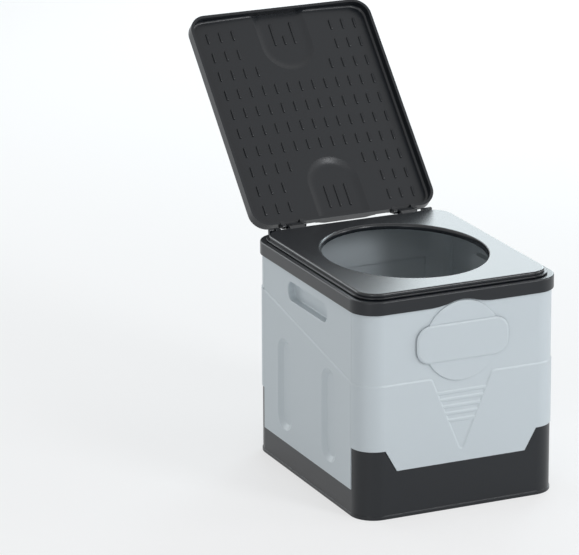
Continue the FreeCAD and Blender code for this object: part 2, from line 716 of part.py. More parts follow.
def side_panel(label, facing, ear, axis_x, axis_z):
    """Side panel with its handle cup, two flutes, sloping step line and hinge knuckles."""
    body = new_body(label)
    reach = straight_y - size.part_gap
    outer = half_w * facing
    field = (half_w + size.panel_proud) * facing
    root = (half_w - size.panel_wall / 2) * facing
    cup_floor = (half_w - size.cup_depth) * facing
    flute_floor = (half_w + size.panel_proud - size.flute_depth) * facing

    def span(a, b):
        return sorted((a, b), key=length)

    add(body, "Plate", "YZ", *span(outer, (half_w - size.panel_wall) * facing),
        [block(-reach, panel_low, reach, panel_top)])
    add(body, "Field", "YZ", *span(field, (half_w - size.bury) * facing),
        [[(-reach, panel_low), (reach, panel_low), (reach, size.rear_step), (-reach, step)]])
    slope_edge(body, "FieldEdge", size.ledge_deep, size.ledge_high,
               lambda box: level(box.XMin, box.XMax, field) and box.YLength > straight_y.value
               and box.ZMin > step.value - NEAR)
    add(body, "CupBack", "YZ", *span(root, cup_floor - size.cup_wall * facing), [cup_plan(size.cup_wall)])
    for name, side in (("Front", -1), ("Rear", 1)):
        add(body, "FluteBack" + name, "YZ", *span(root, flute_floor - size.flute_wall * facing),
            [flute_plan(side, size.flute_wall)])
    cut(body, "Cup", "YZ", *span(field + over * facing, cup_floor), [cup_plan(ZERO)])
    soften(body, "CupEdges", size.cup_edge,
           lambda box: (level(box.XMin, box.XMax, outer) or level(box.XMin, box.XMax, cup_floor))
           and box.ZMin > cup_low.value - NEAR and box.ZMax < cup_high.value + NEAR
           and max(-box.YMin, box.YMax) < size.cup_half.value + NEAR)
    for name, side in (("Front", -1), ("Rear", 1)):
        sunk = cut(body, "Flute" + name, "YZ", *span(field, flute_floor), [flute_plan(side, ZERO)])
        if facing < 0:
            sunk.Profile[0].setExpression("AttachmentOffset.Base.z", field.text)
            sunk.Reversed = True
        slope_sides(sunk, size.flute_slope, size.flute_depth, -1)
    soften(body, "FluteHollows", size.flute_hollow, lambda box: level(box.XMin, box.XMax, flute_floor))
    soften(body, "FluteEdges", size.flute_edge,
           lambda box: level(box.XMin, box.XMax, field) and box.ZMin > flute_low.value - NEAR
           and box.ZMax < flute_high.value + NEAR)
    for place, middle in (("A", -size.side_ear_at), ("B", size.side_ear_at)):
        add(body, "Ear" + place, "XZ", middle - size.side_ear_half, middle + size.side_ear_half, [ear])
    bore_reach = size.side_ear_at + size.side_ear_half + over
    cut(body, "EarBore", "XZ", -bore_reach, bore_reach, [("circle", axis_x, axis_z, bore)])
    return body


left_ear = [
    (left_inner - size.bury, left_z + size.ear_root),
    (left_inner - size.bury, panel_low + size.bury),
    (left_x - k, left_z),
    (left_x, left_z - k, k),
    (left_x + k, left_z, k),
    (left_x + k, left_z + k / 2),
]
right_ear = [
    (right_inner + size.bury, right_z - k * 1.5),
    (right_inner + size.bury, right_z + k * 3),
    (right_x, right_z + k),
    (right_x - k, right_z, k),
    (right_x, right_z - k, k),
]
left = side_panel("left_panel", -1, left_ear, left_x, left_z)
right = side_panel("right_panel", 1, right_ear, right_x, right_z)

# Top frame: a plate with an oval opening and a band that caps the panels
frame = new_body("top_frame")
seat_axis_z = seat_low + size.seat_axis_up
frame_x = half_w + size.frame_out
frame_y = half_d + size.frame_out
lip_x = size.hole_half_x + size.lip_wide
lip_y = size.hole_half_y + size.lip_wide
add(frame, "FrameBlock", "XY", frame_low, frame_top,
    [centred(frame_x, frame_y, size.corner_radius + size.frame_out)])
cut(frame, "FrameInside", "XY", frame_low - over, frame_under,
    [centred(half_w + size.part_gap, half_d + size.part_gap, size.corner_radius + size.part_gap)])
cut(frame, "FrameOpening", "XY", frame_under - over, frame_top + over,
    [("oval", size.hole_shift, lip_x + size.open_gap, lip_y + size.open_gap)])
arch = size.disc_radius + size.arch_gap
blend = size.arch_blend
blend_up = frame_low + blend - disc_z
blend_x = ((arch + blend) * (arch + blend) - blend_up * blend_up).root()
meet_x = blend_x * arch / (arch + blend)
meet_z = disc_z + blend_up * arch / (arch + blend)
cut(frame, "FrontArch", "XZ", -(half_d + over), size.bury * 2 - half_d,
    [[(-blend_x, frame_low), (-meet_x, meet_z, blend), (meet_x, meet_z, -arch), (blend_x, frame_low, blend),
      (blend_x, frame_low - over), (-blend_x, frame_low - over)]])
soften(frame, "FrameTopEdge", size.frame_edge,
       lambda box: level(box.ZMin, box.ZMax, frame_top) and (
           reach_x(box) > frame_x.value - NEAR or max(-box.YMin, box.YMax) > frame_y.value - NEAR))
tab_from = size.tab_at - size.tab_wide / 2
tab_to = size.tab_at + size.tab_wide / 2
inner_ear = tab_from - size.part_gap
outer_ear = tab_to + size.part_gap
seat_ear_from = outer_ear + size.ear_wide + size.seat_ear_space
seat_ear_to = seat_ear_from + size.seat_ear_wide
frame_ear_from = seat_ear_to + size.part_gap
frame_ear_to = frame_ear_from + size.frame_ear_wide
n = size.seat_knuckle
seat_bore = size.seat_pin + size.rod_play
frame_ear = [
    (half_d - n, frame_top - size.frame_plate / 3),
    (half_d + n * 0.8, frame_top - size.frame_plate / 3),
    (half_d + n, seat_axis_z),
    (half_d, seat_axis_z + n, n),
    (half_d - n, seat_axis_z, n),
]
add(frame, "FrameEarLeft", "YZ", -frame_ear_to, -frame_ear_from, [frame_ear])
add(frame, "FrameEarRight", "YZ", frame_ear_from, frame_ear_to, [frame_ear])
cut(frame, "FrameEarBore", "YZ", -(frame_ear_to + over), frame_ear_to + over,
    [("circle", half_d, seat_axis_z, seat_bore)])

# Bag ring under the seat plate
ring = new_body("bag_ring")
ring_x = half_w - size.ring_inset
ring_y = half_d - size.ring_inset
bumper_x = ring_x - size.bumper_inset_x
bumper_y = ring_y - size.bumper_inset_y
bumper_top = ring_low + size.bumper_sink
bumper_places = [(x, y) for x in (-bumper_x, bumper_x) for y in (-bumper_y, bumper_y)]
add(ring, "RingPlate", "XY", ring_low, seat_low, [centred(ring_x, ring_y, size.corner_radius)])
soften(ring, "RingEdges", size.ring_edge,
       lambda box: level(box.ZMin, box.ZMax, ring_low) or level(box.ZMin, box.ZMax, seat_low))
cut(ring, "RingOpening", "XY", ring_low - over, seat_low + over,
    [("oval", size.hole_shift, lip_x + size.part_gap, lip_y + size.part_gap)])
cut(ring, "BumperSeats", "XY", ring_low - over, bumper_top,
    [("circle", x, y, size.bumper_radius) for x, y in bumper_places])

# Seat plate with its oval opening, lip, hinge knuckles and lid tabs
seat = new_body("seat_plate")
seat_x = half_w - size.seat_inset
seat_y = half_d - size.seat_inset
lip_low = frame_under + size.lip_clear
add(seat, "SeatSlab", "XY", seat_low, seat_top,
    [centred(seat_x, seat_y, size.corner_radius - size.ring_inset)])
add(seat, "SeatLip", "XY", lip_low, seat_low + size.bury, [("oval", size.hole_shift, lip_x, lip_y)])
cut(seat, "SeatOpening", "XY", lip_low - over, seat_top + over,
    [("oval", size.hole_shift, size.hole_half_x, size.hole_half_y)])
soften(seat, "SeatTopEdge", size.seat_edge,
       lambda box: level(box.ZMin, box.ZMax, seat_top) and reach_x(box) > size.hole_half_x.value + 1)
soften(seat, "SeatOpeningEdge", size.hole_edge,
       lambda box: level(box.ZMin, box.ZMax, seat_top) and reach_x(box) < size.hole_half_x.value + 1)
lid_axis_y = half_d + size.lid_axis_back
lid_axis_z = seat_top - size.lid_axis_drop
e = size.lid_knuckle
root_y = seat_y - size.seat_root - size.seat_edge
seat_ear = [
    (root_y, seat_low),
    (half_d - n * 0.8, seat_axis_z - n * 0.6),
    (half_d, seat_axis_z - n, n),
    (half_d + n, seat_axis_z, n),
    (half_d, seat_axis_z + n, n),
    (root_y, seat_axis_z + n * 0.6),
]
lid_tab = [
    (root_y, seat_low + size.seat_thick / 10),
    (lid_axis_y, lid_axis_z - e),
    (lid_axis_y + e, lid_axis_z, e),
    (lid_axis_y, lid_axis_z + e, e),
    (lid_axis_y - size.tab_flat, lid_axis_z + e),
    (root_y, seat_top - size.bury),
]
lid_bore = size.lid_pin + size.rod_play
add(seat, "SeatEarLeft", "YZ", -seat_ear_to, -seat_ear_from, [seat_ear])
add(seat, "SeatEarRight", "YZ", seat_ear_from, seat_ear_to, [seat_ear])
add(seat, "LidTabLeft", "YZ", -tab_to, -tab_from, [lid_tab])
add(seat, "LidTabRight", "YZ", tab_from, tab_to, [lid_tab])
cut(seat, "SeatEarBore", "YZ", -(seat_ear_to + over), seat_ear_to + over,
    [("circle", half_d, seat_axis_z, seat_bore)])
cut(seat, "LidTabBore", "YZ", -(tab_to + over), tab_to + over, [("circle", lid_axis_y, lid_axis_z, lid_bore)])

# Lid, drawn closed about its hinge axis and then swung open
lid = new_body("lid")
lid_half = half_w - size.lid_side
lid_back = -size.lid_rear
lid_front = size.lid_nose - half_d - lid_axis_y
rim = size.lid_axis_drop + size.lid_gap
side_z = rim + size.lid_side_rise
plate_z = rim + size.lid_mid_rise - size.lid_plate
bow = size.lid_side_rise - size.lid_mid_rise
bow_radius = (lid_half * lid_half + bow * bow) / (2 * bow)
skirt = size.lid_skirt
outline = oblong(-lid_half, lid_front, lid_half, lid_back, size.lid_corner)
inside = oblong(skirt - lid_half, lid_front + skirt, lid_half - skirt, lid_back - skirt,
                size.lid_corner - skirt)
beyond = block(-(lid_half + over * 4), lid_front - over * 4, lid_half + over * 4, lid_back + over * 4)
add(lid, "LidSheet", "XZ", lid_front, lid_back,
    [[(-lid_half, side_z - size.lid_plate), (lid_half, side_z - size.lid_plate, bow_radius),
      (lid_half, side_z), (-lid_half, side_z, -bow_radius)]])
cut(lid, "LidCorners", "XY", rim, side_z + over, [beyond, outline])
add(lid, "LidSkirt", "XY", rim, side_z, [outline, inside])
cut(lid, "LidBow", "XZ", lid_front - over, lid_back + over,
    [[(-lid_half, side_z), (lid_half, side_z, bow_radius), (lid_half + over, side_z),
      (lid_half + over, side_z + over * 4), (-(lid_half + over), side_z + over * 4),
      (-(lid_half + over), side_z)]])


def on_lid_wall(box, inset):
    """True for an edge high on the lid that touches the wall a given distance in from its outline."""
    high = box.ZMin > rim.value + size.lid_mid_rise.value / 2
    at_side = abs(reach_x(box) - (lid_half.value - inset)) < NEAR
    at_end = (abs(box.YMax - (lid_back.value - inset)) < NEAR
              or abs(box.YMin - (lid_front.value + inset)) < NEAR)
    return high and (at_side or at_end)


soften(lid, "LidEdge", size.lid_edge, lambda box: on_lid_wall(box, 0))
soften(lid, "LidCove", size.lid_cove, lambda box: on_lid_wall(box, skirt.value))


def dome_half_section(reach, low, foot, crown):
    """Right half of a dome's section: a flank of two arcs between foot and crown."""
    height = crown - foot
    radius = (size.dome_run * size.dome_run + height * height) / (4 * height)
    return [
        (reach, low),
        (reach, foot),
        (reach - size.dome_run / 2, foot + height / 2, -radius),
        (reach - size.dome_run, crown, radius),
    ]


def dome_section(reach, low, foot, crown):
    """Whole section of a dome, from its right half and the mirrored left one."""
    right = dome_half_section(reach, low, foot, crown)
    first = right[2]
    second = right[3]
    return right + [
        (-second[0], second[1]),
        (-first[0], first[1], second[2]),
        (-reach, foot, first[2]),
        (-reach, low),
    ]


dome_top = rim + size.dome_rise
hollow = (size.dome_half, rim, plate_z - size.dome_sink, dome_top - size.lid_plate)
shell = (size.dome_half + size.dome_wall, plate_z + size.dome_root,
         plate_z + size.lid_plate - size.dome_sink, dome_top)
for name, edge, way in (("Rear", lid_back, -1), ("Front", lid_front, 1)):
    bend = edge + size.dome_straight * way
    inner = edge + skirt * way
    add(lid, name + "Dome", "XZ", *sorted((edge, bend), key=length), [dome_section(*shell)])
    turn(lid, name + "DomeEnd", [*dome_half_section(*shell), (0, shell[3]), (0, shell[1])], bend)
    cut(lid, name + "Hollow", "XZ", *sorted((inner, bend), key=length), [dome_section(*hollow)])
    turn(lid, name + "HollowEnd", [*dome_half_section(*hollow), (0, hollow[3]), (0, hollow[1])], bend,
         "PartDesign::Groove")
slot_high = rim + size.lid_side_rise + over


def slot(x, y, long):
    """Plan of a slot with round ends."""
    reach = size.slot_wide / 2
    low = y - long / 2 + reach
    high = y + long / 2 - reach
    return [
        (x - reach, low),
        (x, low - reach, reach),
        (x + reach, low, reach),
        (x + reach, high),
        (x, high + reach, reach),
        (x - reach, high, reach),
    ]


def slots(name, column, line, columns, lines, across):
    """A block of slots whose rear left one lies in a column and line of the lid's slot grid."""
    y = lid_back - size.slot_first - size.slot_pitch_y * line
    first = cut(lid, name, "XY", rim, slot_high, [slot(size.slot_pitch_x * column, y, size.slot_long)])
    grid(lid, first, columns, lines, across, size.slot_pitch_y)


slots("LeftSlots", -6, 0, 3, 10, size.slot_pitch_x)
slots("RightSlots", 4, 0, 3, 10, size.slot_pitch_x)
slots("SideSlots", -3, 2, 2, 6, size.slot_pitch_x * 6)
slots("MiddleSlots", -2, 3, 5, 4, size.slot_pitch_x)
rear_slot = lid_back - size.dome_slot_at
front_slot = lid_front + size.dome_slot_at
short_slot = front_slot + (size.dome_slot_long - size.dome_slot_short) / 2
across = size.dome_slot_pitch
long = size.dome_slot_long
cut(lid, "DomeSlots", "XY", rim, slot_high,
    [slot(-across, rear_slot, long), slot(ZERO, rear_slot, long), slot(across, rear_slot, long),
     slot(-across, front_slot, long), slot(across, front_slot, long),
     slot(ZERO, short_slot, size.dome_slot_short)])
notch_in = lid_back - skirt - size.bury
cut(lid, "TabNotches", "XY", rim - over, rim + size.notch_rise,
    [block(-outer_ear, notch_in, -inner_ear, lid_back + over),
     block(inner_ear, notch_in, outer_ear, lid_back + over)])
lid_ear = [
    (lid_back - skirt, rim + size.lid_ear_rise),
    (lid_back - skirt, rim),
    (-e, 0),
    (0, -e, e),
    (e, 0, e),
    (lid_back + e / 2, rim + size.lid_ear_rise),
]
for place, low, high in (
    ("A", -(outer_ear + size.ear_wide), -outer_ear),
    ("B", -inner_ear, size.ear_wide - inner_ear),
    ("C", inner_ear - size.ear_wide, inner_ear),
    ("D", outer_ear, outer_ear + size.ear_wide),
):
    add(lid, "LidEar" + place, "YZ", low, high, [lid_ear])
ear_reach = outer_ear + size.ear_wide
cut(lid, "LidEarBore", "YZ", -(ear_reach + over), ear_reach + over, [("circle", 0, 0, lid_bore)])
knob_y = lid_front + size.knob_at
cut(lid, "KnobHole", "XY", dome_top - size.screw_bite, dome_top + over,
    [("circle", 0, knob_y, size.screw_shank + size.rod_play)])

# Knob on the front dome, turned about its screw
collar = new_body("knob_collar")
c = size.collar_radius
collar_in = size.knob_radius + size.collar_play
waist = c - size.collar_waist
turn(collar, "CollarTurn", [
    (collar_in, 0), (c, 0), (c, size.collar_foot), (waist, size.collar_height - size.collar_foot),
    (waist + size.collar_foot, size.collar_height), (collar_in, size.collar_height)])
knob = new_body("lid_knob")
seat_head = size.knob_height - size.screw_sink
head_gap = size.screw_head + size.screw_head_gap
shank_hole = size.screw_shank + size.rod_play
turn(knob, "KnobTurn", [
    (shank_hole, 0), (size.knob_radius, 0), (size.knob_radius, size.knob_height - size.knob_bevel),
    (size.knob_radius - size.knob_bevel, size.knob_height), (head_gap, size.knob_height),
    (head_gap, seat_head), (shank_hole, seat_head)])
screw = new_body("knob_screw")
head_top = seat_head + size.screw_sink * 0.8
turn(screw, "ScrewTurn", [
    (0, -size.screw_bite), (size.screw_shank, -size.screw_bite), (size.screw_shank, seat_head),
    (size.screw_head, seat_head), (size.screw_head, head_top - size.screw_sink / 4),
    (size.screw_head - size.screw_sink / 4, head_top), (0, head_top)])

# Blank plate across the disc
badge = new_body("badge_bar")
badge_back = half_d + size.disc_proud
badge_face = -(badge_back + size.badge_thick)
badge_low = disc_z - size.badge_half_height
badge_high = disc_z + size.badge_half_height
add(badge, "BadgePlate", "XZ", badge_face, -badge_back,
    [oblong(-size.badge_half, badge_low, size.badge_half, badge_high, size.badge_corner)])
slope_edge(badge, "BadgeEdge", size.badge_slope_deep, size.badge_slope_wide,
           lambda box: level(box.YMin, box.YMax, badge_face))


def rod(name, axis, x, y, z, radius, length):
    """A round rod that starts at a point and runs along an axis."""
    cylinder = doc.addObject("Part::Cylinder", name)
    cylinder.Placement = FreeCAD.Placement(FreeCAD.Vector(), AXIS_TURN[axis])
    cylinder.setExpression("Radius", radius.text)
    cylinder.setExpression("Height", length.text)
    for letter, value in (("x", x), ("y", y), ("z", z)):
        cylinder.setExpression("Placement.Base." + letter, value.text)
    return cylinder


def pin_pair(label, start, end, y, z, radius):
    """Two pins along X, one on each side of the middle."""
    return group(label, [
        rod(label + "_a", "X", -end, y, z, radius, end - start),
        rod(label + "_b", "X", start, y, z, radius, end - start)])


def group(label, members):
    compound = doc.addObject("Part::Compound", label)
    compound.Label = label
    compound.Links = members
    return compound


r = size.rod_radius
end_rod_from = size.end_ear_at - size.end_ear_half
left_rod = rod("left_hinge_rod", "Y", left_x, -side_rod_half, left_z, r, side_rod_half * 2)
right_rod = rod("right_hinge_rod", "Y", right_x, -side_rod_half, right_z, r, side_rod_half * 2)
front_pins = pin_pair("front_hinge_pins", end_rod_from, end_rod_to, front_y, front_z, r)
rear_pins = pin_pair("rear_hinge_pins", end_rod_from, end_rod_to, rear_y, rear_z, r)
seat_pins = pin_pair("seat_hinge_pins", seat_ear_from, frame_ear_to, half_d, seat_axis_z, size.seat_pin)
lid_pins = pin_pair("lid_hinge_pins", inner_ear - size.ear_wide, ear_reach, lid_axis_y, lid_axis_z,
                    size.lid_pin)
bumper_low = frame_top + size.bumper_gap
bumpers = group("seat_bumpers", [
    rod("seat_bumper_%d" % i, "Z", x, y, bumper_low, size.bumper_radius, bumper_top - bumper_low)
    for i, (x, y) in enumerate(bumper_places)])

# Swing the lid and its knob open about the hinge axis
swing = FreeCAD.Rotation(FreeCAD.Vector(1, 0, 0), -SIZES["lid_open"])
angle = "%s * 1 deg" % size.lid_open.text
for body, local_y, local_z in (
    (lid, ZERO, ZERO),
    (collar, knob_y, dome_top),
    (knob, knob_y, dome_top),
    (screw, knob_y, dome_top),
):
    body.Placement = FreeCAD.Placement(FreeCAD.Vector(), swing)
    body.setExpression("Placement.Rotation.Angle", "-1 * %s" % angle)
    body.setExpression("Placement.Base.y", "%s + %s * cos(%s) + %s * sin(%s)" % (
        lid_axis_y.text, local_y.text, angle, local_z.text, angle))
    body.setExpression("Placement.Base.z", "%s - %s * sin(%s) + %s * cos(%s)" % (
        lid_axis_z.text, local_y.text, angle, local_z.text, angle))

doc.recompute()

nodes = [base, front, rear, left, right, left_rod, right_rod, front_pins, rear_pins, badge, frame, seat_pins,
         ring, seat, bumpers, lid_pins, lid, collar, knob, screw]
faults = [item.Name for item in doc.Objects if "Invalid" in item.State or "Error" in item.State]
for node in nodes:
    if node.Shape.isNull() or not node.Shape.isValid() or not node.Shape.Solids:
        faults.append(node.Label)
if faults:
    raise RuntimeError("not built: " + ", ".join(faults))

os.makedirs("parts", exist_ok=True)
for node in nodes:
    node.Shape.exportStep("parts/%s.step" % node.Label)
    print(node.Label, len(node.Shape.Solids), "%.1f cm3" % (node.Shape.Volume / 1000))
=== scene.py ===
"""Dresses the folding portable toilet: moulded finishes, softened edges, camera and studio."""
import json
import logging
import math
from dataclasses import dataclass, field
from enum import Enum
from typing import Any

import bpy
from mathutils import Matrix, Vector


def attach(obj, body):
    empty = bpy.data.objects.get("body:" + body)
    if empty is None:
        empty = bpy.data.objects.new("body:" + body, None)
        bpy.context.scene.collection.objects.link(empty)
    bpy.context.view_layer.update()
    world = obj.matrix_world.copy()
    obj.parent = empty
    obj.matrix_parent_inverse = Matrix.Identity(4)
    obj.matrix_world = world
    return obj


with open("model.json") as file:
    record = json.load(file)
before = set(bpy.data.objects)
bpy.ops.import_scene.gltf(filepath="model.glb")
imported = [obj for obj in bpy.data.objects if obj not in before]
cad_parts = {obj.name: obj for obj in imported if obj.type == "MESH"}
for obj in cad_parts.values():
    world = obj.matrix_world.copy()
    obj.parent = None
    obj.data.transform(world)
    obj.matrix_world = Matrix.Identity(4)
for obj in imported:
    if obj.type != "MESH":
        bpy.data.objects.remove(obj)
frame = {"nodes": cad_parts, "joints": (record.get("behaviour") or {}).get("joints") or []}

LOG = logging.getLogger("portable_toilet")
MM = 0.001
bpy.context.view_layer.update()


class Slot(Enum):
    """Material slots of the record, by what they cover."""

    LIGHT = "light_plastic"
    DARK = "dark_plastic"
    SEAT = "seat_plastic"
    STEEL = "steel"
    RUBBER = "rubber"
    TRIM = "bright_trim"
    KNOB = "black_knob"


def linear(hex_colour: str) -> tuple[float, float, float, float]:
    """Turns an sRGB hex colour into linear RGBA.

    Args:
        hex_colour: Six hex digits with a leading hash.

    Returns:
        Linear red, green, blue and an alpha of one.
    """
    channels = [int(hex_colour[i:i + 2], 16) / 255 for i in (1, 3, 5)]
    red, green, blue = [c / 12.92 if c <= 0.04045 else ((c + 0.055) / 1.055) ** 2.4 for c in channels]
    return red, green, blue, 1.0


def add_node(tree: bpy.types.NodeTree, kind: str, settings: dict[str, Any] | None = None,
             sockets: dict[Any, Any] | None = None) -> bpy.types.Node:
    """Adds a shader node, sets its properties and fills or links its inputs.

    Args:
        tree: Node tree that takes the node.
        kind: Blender's type name of the node.
        settings: Property values of the node.
        sockets: Input values by name or index; an output socket is linked, anything else is set.

    Returns:
        The new node.
    """
    node = tree.nodes.new(kind)
    for name, value in (settings or {}).items():
        setattr(node, name, value)
    for name, value in (sockets or {}).items():
        if isinstance(value, bpy.types.NodeSocket):
            tree.links.new(value, node.inputs[name])
        else:
            node.inputs[name].default_value = value
    return node


@dataclass(frozen=True)
class Finish:
    """One real material and the way its surface was made."""

    name: str
    slot: Slot
    colour: str
    roughness: float
    ior: float = 1.5
    metallic: float = 0.0
    grain_mm: float = 0.0
    grain_depth_mm: float = 0.0

    def material(self) -> bpy.types.Material:
        """Makes the Blender material, or gives the one already made.

        Returns:
            The material of this finish.
        """
        if self.name in bpy.data.materials:
            return bpy.data.materials[self.name]
        made = bpy.data.materials.new(self.name)
        made.use_nodes = True
        tree = made.node_tree
        shader = tree.nodes["Principled BSDF"]
        shader.inputs["Base Color"].default_value = linear(self.colour)
        shader.inputs["Roughness"].default_value = self.roughness
        shader.inputs["Metallic"].default_value = self.metallic
        if not self.metallic:
            shader.inputs["IOR"].default_value = self.ior
        if self.grain_mm:
            place = add_node(tree, "ShaderNodeTexCoord")
            noise = add_node(tree, "ShaderNodeTexNoise", sockets={
                "Vector": place.outputs["Object"], "Scale": 1 / (self.grain_mm * MM), "Detail": 2.0})
            bump = add_node(tree, "ShaderNodeBump", sockets={
                "Strength": 1.0, "Distance": self.grain_depth_mm * MM, "Height": noise.outputs["Fac"]})
            tree.links.new(bump.outputs["Normal"], shader.inputs["Normal"])
        return made


# Moulded polypropylene, pale grey: an even satin surface. Its grain, finer than half a millimetre on the real
# moulding, is drawn 1.6 mm coarse so that it shows, here and on the charcoal one.
PALE_POLYPROPYLENE = Finish("moulded_pale_polypropylene", Slot.LIGHT, "#BCC4C8", 0.4, 1.49, 0.0, 1.6, 0.012)
# Moulded polypropylene, charcoal: nearly black in itself, so what it shows is the room's reflection.
CHARCOAL_POLYPROPYLENE = Finish(
    "moulded_charcoal_polypropylene", Slot.DARK, "#12161B", 0.32, 1.46, 0.0, 1.6, 0.012)
# Polished ABS, charcoal: as dark, but smooth enough to mirror the light behind the seat.
POLISHED_ABS = Finish("polished_charcoal_abs", Slot.SEAT, "#12161B", 0.27, 1.5)
# Zinc-plated steel: a bright, slightly blurred metal.
PLATED_STEEL = Finish("zinc_plated_steel", Slot.STEEL, "#B9BCC0", 0.3, metallic=1.0)
# Blackened steel: a dark metal with a dull gleam, kept for the pins that show at the hinges.
BLACKENED_STEEL = Finish("blackened_steel", Slot.STEEL, "#2B2C2E", 0.38, metallic=1.0)
# Moulded rubber: flat black with almost no reflection, its fine grain drawn 1.2 mm coarse so that it shows.
MOULDED_RUBBER = Finish("moulded_rubber", Slot.RUBBER, "#1B1B1C", 0.75, 1.52, 0.0, 1.2, 0.02)
# Chromed ABS: mirror bright with a cool tone.
CHROMED_ABS = Finish("chromed_abs", Slot.TRIM, "#C9CDD1", 0.14, metallic=1.0)
# Glossy ABS, black: a deep colour under a clear reflection.
GLOSSY_ABS = Finish("glossy_black_abs", Slot.KNOB, "#0E0F11", 0.16, 1.53)


@dataclass(frozen=True)
class Edge:
    """Softening of a moulding's sharp edges, given as modifiers."""

    width_mm: float
    segments: int = 2
    sharp_deg: float = 45.0
    flat_deg: float = 0.4
    weld_mm: float = 0.004

    def soften(self, piece: bpy.types.Object) -> None:
        """Joins the facets of flat faces and rounds the edges between them.

        Args:
            piece: Mesh object that takes the modifiers.
        """
        weld = piece.modifiers.new("join_facets", "WELD")
        weld.merge_threshold = self.weld_mm * MM
        flat = piece.modifiers.new("flat_faces", "DECIMATE")
        flat.decimate_type = "DISSOLVE"
        flat.angle_limit = math.radians(self.flat_deg)
        bevel = piece.modifiers.new("soft_edge", "BEVEL")
        bevel.width = self.width_mm * MM
        bevel.segments = self.segments
        bevel.limit_method = "ANGLE"
        bevel.angle_limit = math.radians(self.sharp_deg)
        bevel.use_clamp_overlap = False
        bevel.harden_normals = True
        shade = piece.modifiers.new("even_shading", "WEIGHTED_NORMAL")
        shade.keep_sharp = True


def dress(node: str, finish: Finish, edge: Edge | None = None) -> bpy.types.Object:
    """Gives a CAD node its finish and its softened edges.

    Args:
        node: Name of the node.
        finish: Finish of its whole surface.
        edge: Softening of its edges, if any.

    Returns:
        The node's object.
    """
    piece = frame["nodes"][node]
    piece.data.materials.clear()
    piece.data.materials.append(finish.material())
    if edge:
        edge.soften(piece)
    LOG.info("%s: %s", node, finish.name)
    return piece


@dataclass
class Housing:
    """Base tray, four folding panels and the blank plate on the front."""

    tray_edge: Edge = Edge(0.6)
    plate_edge: Edge = Edge(0.3)
    panels: tuple[str, ...] = ("front_panel", "rear_panel", "left_panel", "right_panel")
    rods: tuple[str, ...] = ("left_hinge_rod", "right_hinge_rod", "front_hinge_pins", "rear_hinge_pins")

    def build(self) -> None:
        """Dresses the tray, the panels, the blank plate and the hinge rods."""
        dress("base_tray", CHARCOAL_POLYPROPYLENE, self.tray_edge)
        for panel in self.panels:
            dress(panel, PALE_POLYPROPYLENE)
        dress("badge_bar", PALE_POLYPROPYLENE, self.plate_edge)
        for rod in self.rods:
            dress(rod, PLATED_STEEL)


@dataclass
class SeatTop:
    """Top frame, bag ring, seat plate, bumpers and seat hinge pins."""

    frame_edge: Edge = Edge(0.5)
    ring_edge: Edge = Edge(0.3)
    seat_edge: Edge = Edge(0.4)

    def build(self) -> None:
        """Dresses every piece of the seat."""
        dress("top_frame", CHARCOAL_POLYPROPYLENE, self.frame_edge)
        dress("bag_ring", CHARCOAL_POLYPROPYLENE, self.ring_edge)
        dress("seat_plate", POLISHED_ABS, self.seat_edge)
        dress("seat_bumpers", MOULDED_RUBBER)
        dress("seat_hinge_pins", BLACKENED_STEEL)


@dataclass(frozen=True)
class SlotBack:
    """Closed back of one lid slot: a low rounded bar on the lid's underside, in the closed lid's frame."""

    x_mm: float
    y_mm: float
    under_mm: float
    long_mm: float
    wide_mm: float = 3.0
    arc_steps: int = 8
    # Inset from the bar's outline and height below the underside, from the root to the crest.
    profile_mm: tuple[tuple[float, float], ...] = (
        (0.0, -0.6), (0.0, 0.8), (0.2, 1.3), (0.6, 1.65), (1.2, 1.9))
    # How many times longer the bar's slope is at the end next to the hinge.
    ramp: float = 2.5

    def outline(self, inset: float) -> list[tuple[float, float]]:
        """Draws the bar's plan, a slot shape drawn in by a width.

        Args:
            inset: Distance in from the bar's outline, in mm.

        Returns:
            Points of the plan in order, in mm.
        """
        radius = self.wide_mm / 2 - inset
        reach = (self.long_mm - self.wide_mm) / 2
        points = []
        for way, drawn_in in ((1, inset * (self.ramp - 1)), (-1, 0.0)):
            for step in range(self.arc_steps + 1):
                turn = math.pi * step / self.arc_steps
                points.append((self.x_mm + way * radius * math.cos(turn),
                               self.y_mm + way * (reach - drawn_in + radius * math.sin(turn))))
        return points

    def mesh(self) -> tuple[list[tuple[float, float, float]], list[list[int]]]:
        """Builds the bar as a closed shell.

        Returns:
            Corner points in mm and faces as lists of point numbers.
        """
        points = []
        for inset, height in self.profile_mm:
            points += [(x, y, self.under_mm - height) for x, y in self.outline(inset)]
        around = 2 * (self.arc_steps + 1)
        faces = [list(range(around)), list(range(len(points) - 1, len(points) - around - 1, -1))]
        for ring in range(len(self.profile_mm) - 1):
            low = ring * around
            for i in range(around):
                j = (i + 1) % around
                faces.append([low + j, low + i, low + around + i, low + around + j])
        return points, faces


